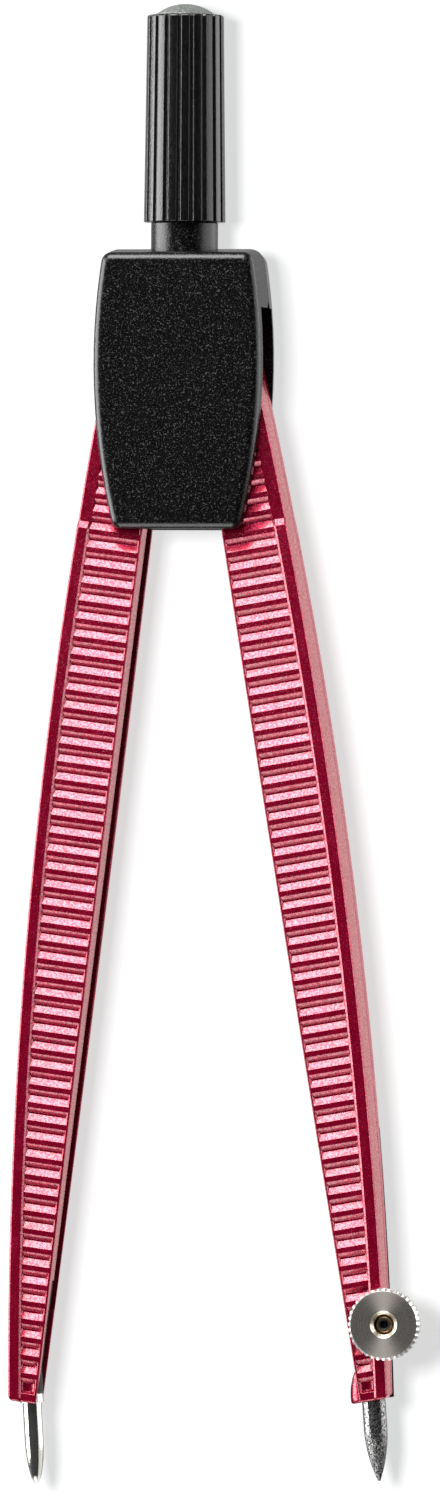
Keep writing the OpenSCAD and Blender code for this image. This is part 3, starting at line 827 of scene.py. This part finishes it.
def halfShell(name):
    outline = headOutline()
    edge = head["edge"]
    straight = head["halfDepth"] - edge
    drawn = head["draft"] * straight / head["halfDepth"]
    levels = [(0, head["parting"]), (head["parting"], head["parting"] * 0.1), (straight, drawn)]
    for i in range(1, 9):
        turn = math.radians(90 * i / 8)
        levels.append((straight + edge * math.sin(turn), drawn + edge * (1 - math.cos(turn))))
    rings = []
    for depth, inset in levels:
        # the sides lean in, the lower end doesn't
        stretch = head["drop"] / (head["drop"] - min(inset, drawn))
        rings.append([(x, -depth, z * stretch if z < 0 else z) for x, z in shrunk(outline, inset)])
    block = loft("block", rings)
    roof, notch, half, low = head["slotRise"], head["notch"], head["slotHalf"], -head["slotEnd"]
    section = [(-half, low), (-half, roof), (-notch, roof), (0, roof + notch), (1, roof + notch), (1, low)]
    slot = loft("slot", [[(x, y, z) for y, z in section] for x in (-head["slotWide"], head["slotWide"])])
    shell = bevelled(cut(block, slot), head["softened"], 50)
    wide, thin = head["stemRadius"], head["spigotRadius"]
    foot, top = head["rise"] - 0.6, head["rise"] + head["stemLength"]
    step, end = top - 0.02, top + 1
    corners = [(0, foot), (wide, foot), (wide, step), (thin, step), (thin, end), (0, end)]
    stem = lathe("stem", rounded(corners, [0.05, 0.12, 0.02, 0.05]), 48, 180.0, 180.0)
    return joined(name, shell, stem)


def makeHead():
    up = Matrix.Translation((0, 0, joints["lead_leg_swing"]["pos_m"][2]))
    front = placed(halfShell("head_front_shell"), up @ Matrix.Scale(mm, 4))
    rear = placed(halfShell("head_rear_shell"), up @ Matrix.Diagonal((mm, -mm, mm, 1)))
    dress(front, finishes["head"], "head", ["front_shell"])
    dress(rear, finishes["head"], "head", ["rear_shell"])


# Grip and nut: one sector turned round an axis

def radialTree():
    nodes, start = newTree("radial array", {"Count": "Int", "Finish": "Material"})
    count = start.other("Count")
    points = nodes.add("GeometryNodePoints", None, {"Count": count})
    turn = nodes.add("ShaderNodeCombineXYZ", None,
                     {"Z": nodes.add("GeometryNodeInputIndex") * (2 * math.pi) / count})
    copies = nodes.add("GeometryNodeInstanceOnPoints", None,
                       {"Points": points, "Instance": start, "Rotation": turn})
    whole = nodes.add("GeometryNodeRealizeInstances", None, {"Geometry": copies})
    welded = nodes.add("GeometryNodeMergeByDistance", None, {"Geometry": whole, "Distance": 0.001})
    finished = nodes.add("GeometryNodeSetMaterial", None,
                         {"Geometry": welded, "Material": start.other("Finish")})
    nodes.add("NodeGroupOutput", None, {"Geometry": finished})
    return nodes.tree


def sector(name, profile, flute, count):
    # profile: (radius, height, share of the flute's depth); flute: (share of the pitch, depth) on one half
    across = [(-share, depth) for share, depth in reversed(flute[1:])] + flute
    points = []
    for share, depth in across:
        turn = share * 2 * math.pi / count
        for radius, z, part in profile:
            r = radius - depth * part
            points.append((r * math.cos(turn), r * math.sin(turn), z))
    rows = len(profile)
    faces = []
    for i in range(len(across) - 1):
        a, b = i * rows, (i + 1) * rows
        faces += [(a + k, a + k + 1, b + k + 1, b + k) for k in range(rows - 1)]
    mesh = bpy.data.meshes.new(name)
    mesh.from_pydata(points, [], faces)
    return newObject(name, mesh)


grip = {
    "length": 17.5, "radiusTop": 3.23, "radiusBottom": 3.45, "flutes": 19, "fluteDepth": 0.2,
    "shoulder": 0.2, "lip": 0.06, "hole": 2.42, "turn": -4.2,
    "capRadius": 2.5, "capHeight": 0.95, "capBand": 0.13,
}


def makeGrip(tree):
    top, bottom = grip["length"] / 2, -grip["length"] / 2
    outer = [(head["spigotRadius"] + 0.02, bottom), (grip["radiusBottom"], bottom),
             (grip["radiusTop"], top), (grip["hole"], top)]
    run = rounded(outer, [grip["lip"], grip["shoulder"]], 5)
    profile = [(r, z, 0.0 if i in (0, len(run) - 1) else 1.0) for i, (r, z) in enumerate(run)]
    flute = [(0.0, 0.0), (0.26, 0.0), (0.3, 0.012), (0.335, 0.05), (0.37, 0.1), (0.41, 0.15),
             (0.455, 0.185), (0.5, grip["fluteDepth"])]
    sleeve = grown("fluted_sleeve", sector("flute", profile, flute, grip["flutes"]), tree,
                   {"Count": grip["flutes"], "Finish": finishes["grip"]})
    placed(sleeve, Matrix.Scale(mm, 4) @ Matrix.Rotation(math.radians(grip["turn"]), 4, "Z"))
    dress(sleeve, finishes["grip"], "head", ["grip_sleeve"], 50)

    r, h, band = grip["capRadius"] - 0.1, grip["capHeight"] - grip["capBand"], grip["capBand"]
    domeRadius = (r * r + h * h) / (2 * h)
    dome = [(domeRadius * math.sin(a), top + band + h - domeRadius * (1 - math.cos(a)))
            for a in [math.asin(r / domeRadius) * i / 12 for i in range(13)]]
    edge = [(r + 0.04, top + band), (r + 0.1, top + 0.01), (r, top - 1), (0, top - 1)]
    cap = lathe("domed_cap", dome + edge, 96)
    placed(cap, Matrix.Scale(mm, 4))
    dress(cap, finishes["cap"], "head", ["grip_cap"])


def makeNut(tree):
    u, w = screwPlace()
    radius, depth = clamp["nutRadius"], clamp["nutDepth"]
    back = stripHalf(w + radius) + clamp["nutGap"]
    bore, edge = clamp["screwRadius"] + 0.05, clamp["nutEdge"]
    sink, chamfer = clamp["nutSink"], clamp["nutChamfer"]
    run = rounded([(bore, 0), (radius - edge, 0), (radius, edge), (radius, depth - chamfer),
                   (radius - chamfer, depth), (bore + sink, depth), (bore, depth - sink), (bore, 0)],
                  [0.03, 0.05, 0.04, 0.03, 0.04, 0.04])
    profile = [(r, z, 1.0 if r > radius - clamp["knurlDepth"] else 0.0) for r, z in run]
    flute = [(0.0, 0.0), (0.12, 0.004), (0.26, 0.03), (0.4, 0.09), (0.5, clamp["knurlDepth"])]
    nut = grown("knurled_thumb_nut", sector("knurl", profile, flute, clamp["knurls"]), tree,
                {"Count": clamp["knurls"], "Finish": finishes["turned"]})
    placed(nut, legMatrix(1) @ alongY(u, -back, w))
    nut = dress(nut, finishes["turned"], "nut", ["knurled_nut"])
    nut.data.materials.append(finishes["nickel"])
    nut.data.materials.append(finishes["brass"])
    axis = joints["nut_turn"]["pos_m"]
    for face in nut.data.polygons:
        away = math.hypot(face.center.x - axis[0], face.center.z - axis[2]) / mm
        if away > radius - chamfer * 0.95:
            face.material_index = 1
        elif away < bore + sink:
            face.material_index = 2


def threadRun(radius, pitch, low, high, depth):
    # zigzag of a thread's crests and roots, up the side of a screw
    run = []
    root = radius - depth
    for i in range(int((high - low) / pitch)):
        z = low + i * pitch
        run += [(root, z + 0.06 * pitch), (radius, z + 0.5 * pitch), (root, z + 0.94 * pitch)]
    return run


def makeScrew():
    u, w = screwPlace()
    radius = clamp["screwRadius"]
    nutFace = stripHalf(w + clamp["nutRadius"]) + clamp["nutGap"] + clamp["nutDepth"]
    tip = nutFace - clamp["screwSunk"]
    back = -stripHalf(w)
    threadEnd = tip - clamp["threadLength"]
    end, bearing = back - clamp["screwHeadDepth"], back - 0.01
    wide, core = clamp["screwHeadRadius"], radius - 0.01
    profile = rounded([(0, end), (wide, end), (wide, bearing), (core, bearing)], [0.25, 0.06])
    profile += [(core, threadEnd - 0.02)]
    profile += threadRun(radius, clamp["pitch"], threadEnd, tip - 0.15, clamp["threadDepth"])
    profile += [(radius - 0.16, tip - 0.06), (radius - 0.24, tip)]
    dimple = clamp["dimpleRadius"]
    profile += [(dimple, tip), (dimple - 0.06, tip - 0.06), (dimple - 0.08, tip - 0.7), (0, tip - 0.75)]
    screw = lathe("clamp_screw_threaded", profile, 64, matrix=legMatrix(1) @ alongY(u, 0, w))
    screw = dress(screw, finishes["bronze"], "lead_leg", ["clamp_screw"])
    # the dimple in the screw's end is painted near black, as painted shade in the hollow
    screw.data.materials.append(finishes["hollow"])
    axis = joints["nut_turn"]["pos_m"]
    for face in screw.data.polygons:
        away = math.hypot(face.center.x - axis[0], face.center.z - axis[2]) / mm
        if face.center.y < 0 and away < dimple - 0.02:
            face.material_index = 1


def makePoints():
    r, out = needle["radius"], needle["out"]
    end = -leg["length"]
    place = legMatrix(-1) @ Matrix.Translation((innerU(end) + needle["inset"], 0, end))
    place = place @ Matrix.Rotation(math.radians(needle["tilt"]), 4, "Y")
    taper = [(0, 0), (0.12, 0.03), (0.5, 0.5), (0.64, 0.95), (0.78, 1.5), (0.9, 2.2), (0.97, 3.0), (1, 3.7)]
    profile = [(share * r, up - out) for share, up in taper]
    shank = needle["shankRadius"]
    profile += [(r, 0), (shank, 0.02), (shank, needle["in"]), (0, needle["in"])]
    spike = lathe("steel_needle", profile, 64, matrix=place)
    dress(spike, finishes["needle"], "needle_leg", ["needle"], 50)

    r, blunt, point = lead["radius"], lead["bluntRadius"], lead["pointLength"]
    arc = (point ** 2 + (r - blunt) ** 2) / (2 * (r - blunt))
    profile = [(0, -lead["out"])]
    for i in range(13):
        z = point * i / 12
        profile.append((r - arc + math.sqrt(arc ** 2 - (point - z) ** 2), z - lead["out"]))
    profile += [(r, lead["in"]), (0, lead["in"])]
    place = legMatrix(1) @ Matrix.Translation((leadU(end), 0, end))
    place = place @ Matrix.Rotation(math.radians(lead["tilt"]), 4, "Y")
    stick = lathe("pencil_lead", profile, 72, matrix=place)
    dress(stick, finishes["graphite"], "lead", ["lead"], 50)


def finishHidden():
    # the pieces inside keep their solids and get their finishes
    for name, key in (("left_pivot_pin", "pin"), ("right_pivot_pin", "pin"),
                      ("left_spring_washer", "spring"), ("right_spring_washer", "spring"),
                      ("left_friction_washer", "washer"), ("right_friction_washer", "washer"),
                      ("needle_holder", "holder"), ("clamp_plate", "plate")):
        node = frame["nodes"][name]
        node.data.materials.clear()
        node.data.materials.append(finishes[key])


# Stage

view = {
    "azimuth": 10.0, "distance": 1.15, "height": 0.1267, "roll": 0.27,
    "aimX": 0.0032, "aimZ": -0.0533,
}


def makeCamera():
    turn = math.radians(view["azimuth"])
    right = Vector((math.cos(turn), math.sin(turn), 0))
    back = Vector((math.sin(turn), -math.cos(turn), 0))
    camera = bpy.data.objects.new("camera", bpy.data.cameras.new("camera"))
    bpy.context.scene.collection.objects.link(camera)
    camera.data.sensor_width = 36
    camera.data.lens = 36 * view["distance"] / view["height"]
    camera.data.clip_start, camera.data.clip_end = 0.05, 20
    aim = right * view["aimX"] + Vector((0, 0, view["aimZ"]))
    camera.location = aim + back * view["distance"]
    facing = (-back).to_track_quat("-Z", "Y").to_matrix().to_4x4()
    camera.matrix_world = Matrix.Translation(camera.location) @ facing @ Matrix.Rotation(
        math.radians(view["roll"]), 4, "Z")
    bpy.context.scene.camera = camera


lights = {  # direction from the middle of the compass, width, height, brightness, what it lights
    "above": ((-0.2, -0.55, 0.81), 0.5, 0.44, 15.5, "compass"),
    "left": ((-0.97, -0.2, 0.1), 0.6, 0.6, 10.0, "compass"),
    "right": ((0.9, 0.3, 0.3), 0.9, 0.6, 2.6, "compass"),
    "below": ((-0.15, -0.36, -0.92), 0.5, 0.44, 5.8, "compass"),
    "flank": ((0.94, -0.34, 0.1), 0.3, 0.4, 5.5, "legs"),
    "under": ((0.85, 0.1, -0.45), 0.9, 0.9, 1.5, "needle"),
    "rear": ((0.17, 0.98, 0.0), 0.9, 0.9, 0.42, "legs"),
    "key": ((-0.17, -0.97, 0.1), 0.15, 0.15, 41.0, None),
}
stage = {
    "middle": (0, 0, -0.053), "reach": 0.65, "rearColour": (1.0, 0.08, 0.1),
    "sheetHalf": 0.6, "sheetDrop": 0.05, "sheetGap": 0.0001,
}


def receivers(name, things, state):
    # a group of objects that a light shines on alone (INCLUDE) or leaves out (EXCLUDE)
    group = bpy.data.collections.new(name)
    for thing in things:
        group.objects.link(thing)
    for item in group.collection_objects:
        item.light_linking.link_state = state
    return group


def softbox(name, groups):
    direction, width, height, brightness, lit = lights[name]
    middle = Vector(stage["middle"])
    light = bpy.data.lights.new(name, "AREA")
    if name == "rear":
        light.color = stage["rearColour"]
    light.shape = "RECTANGLE"
    light.size, light.size_y = width, height
    light.energy = brightness * math.pi * width * height
    lamp = bpy.data.objects.new(name, light)
    lamp.location = middle + Vector(direction).normalized() * stage["reach"]
    lamp.rotation_mode = "QUATERNION"
    lamp.rotation_quaternion = (middle - lamp.location).to_track_quat("-Z", "Y")
    bpy.context.scene.collection.objects.link(lamp)
    lamp.visible_glossy = lit is not None  # the key light makes the shadow, and no highlights
    if lit:
        lamp.light_linking.receiver_collection = groups[lit]


def makeSheet():
    # a pale one-sided sheet just behind the compass takes the soft shadow of the key light alone
    half = stage["sheetHalf"]
    corners = [(-half, 0, -half), (half, 0, -half), (half, 0, half), (-half, 0, half)]
    sheet = solid("backdrop", corners, [(0, 1, 2, 3)],
                  Matrix.Translation((0, cadBox[1].y + stage["sheetGap"], -stage["sheetDrop"])))
    if sheet.data.polygons[0].normal.y > 0:
        sheet.data.flip_normals()
    material, nodes, shader, _ = newFinish("pale sheet")
    nodes.plug(shader, {"Base Color": (0.58, 0.58, 0.58, 1), "Roughness": 0.9, "Specular IOR Level": 0.0,
                        "Emission Color": (0.985, 1.0, 1.0, 1), "Emission Strength": 0.67})
    seeThrough = nodes.add("ShaderNodeBsdfTransparent")
    behind = nodes.add("ShaderNodeNewGeometry", out="Backfacing")
    oneSided = nodes.add("ShaderNodeMixShader", None, {0: behind, 2: seeThrough})
    nodes.tree.links.new(shader.outputs[0], oneSided.socket.node.inputs[1])
    nodes.tree.links.new(oneSided.socket, nodes.tree.nodes["Material Output"].inputs[0])
    sheet.data.materials.append(material)
    for kind in ("diffuse", "glossy", "transmission", "shadow"):
        setattr(sheet, "visible_" + kind, False)
    return sheet


def makeStage():
    legs = [bpy.data.objects["needle_leg_casting"], bpy.data.objects["lead_leg_casting"]]
    groups = {
        "compass": receivers("all but the sheet", [makeSheet()], "EXCLUDE"),
        "legs": receivers("legs alone", legs, "INCLUDE"),
        "needle": receivers("needle alone", [bpy.data.objects["steel_needle"]], "INCLUDE"),
    }
    for name in lights:
        softbox(name, groups)

    world = bpy.data.worlds.new("studio")
    bpy.context.scene.world = world
    world.use_nodes = True
    nodes = Nodes(world.node_tree)
    heading = nodes.add("ShaderNodeTexCoord", out="Generated")
    depth = nodes.add("ShaderNodeSeparateXYZ", None, {0: heading}, "Y")
    # dark on the viewer's side, light behind the compass
    glow = colourBy(nodes, depth * 0.5 + 0.5, [
        (0.0, (0.008, 0.008, 0.008)), (0.35, (0.02, 0.02, 0.02)),
        (0.5, (0.18, 0.18, 0.18)), (1.0, (0.58, 0.58, 0.58))])
    seen = nodes.add("ShaderNodeLightPath", out="Is Camera Ray")
    light = nodes.add("ShaderNodeMix", {"data_type": "RGBA"}, {0: seen, 6: glow, 7: (1, 1, 1, 1)}, 2)
    background = world.node_tree.nodes["Background"]
    nodes.plug(background, {"Color": light, "Strength": 1.0})
    bpy.context.scene.view_settings.view_transform = "Standard"


makeCamera()
print("camera set")
finishes = {
    "paint": crimsonPaint(),
    "head": headPlastic(),
    "grip": gripPlastic(),
    "cap": capPlastic(),
    "turned": turnedSteel(),
    "nickel": brightSteel("nickelled steel", (0.85, 0.84, 0.8), (1.0, 0.99, 0.96)),
    "brass": brightSteel("worn brass", (0.8, 0.7, 0.54), (1.0, 0.92, 0.77)),
    "bronze": brightSteel("dark bronze", (0.16, 0.1, 0.06), (0.34, 0.24, 0.16)),
    # near black, painted shade for the hollow in the screw's end
    "hollow": plainPlastic("dull hollow", (0.002, 0.002, 0.002), (0.006, 0.005, 0.005)),
    "graphite": graphite(),
    "needle": needleSteel(),
    "pin": steel("ground steel", (0.45, 0.45, 0.46), (0.65, 0.65, 0.66), 0.25),
    "spring": steel("spring steel", (0.4, 0.4, 0.41), (0.6, 0.6, 0.6), 0.2),
    "plate": steel("blackened steel", (0.01, 0.007, 0.007), (0.024, 0.018, 0.018), 0.3, 0.1),
    "washer": plainPlastic("washer plastic", (0.6, 0.6, 0.55), (0.7, 0.7, 0.66)),
    "holder": plainPlastic("holder plastic", (0.01, 0.008, 0.008), (0.025, 0.02, 0.02)),
}
print("finishes mixed:", len(finishes))
makeLegs()
print("legs cast")
makeHead()
print("head moulded")
arrayTree = radialTree()
makeGrip(arrayTree)
makeNut(arrayTree)
makeScrew()
makePoints()
print("grip, nut, screw and points made")
finishHidden()
makeStage()
print("stage lit")
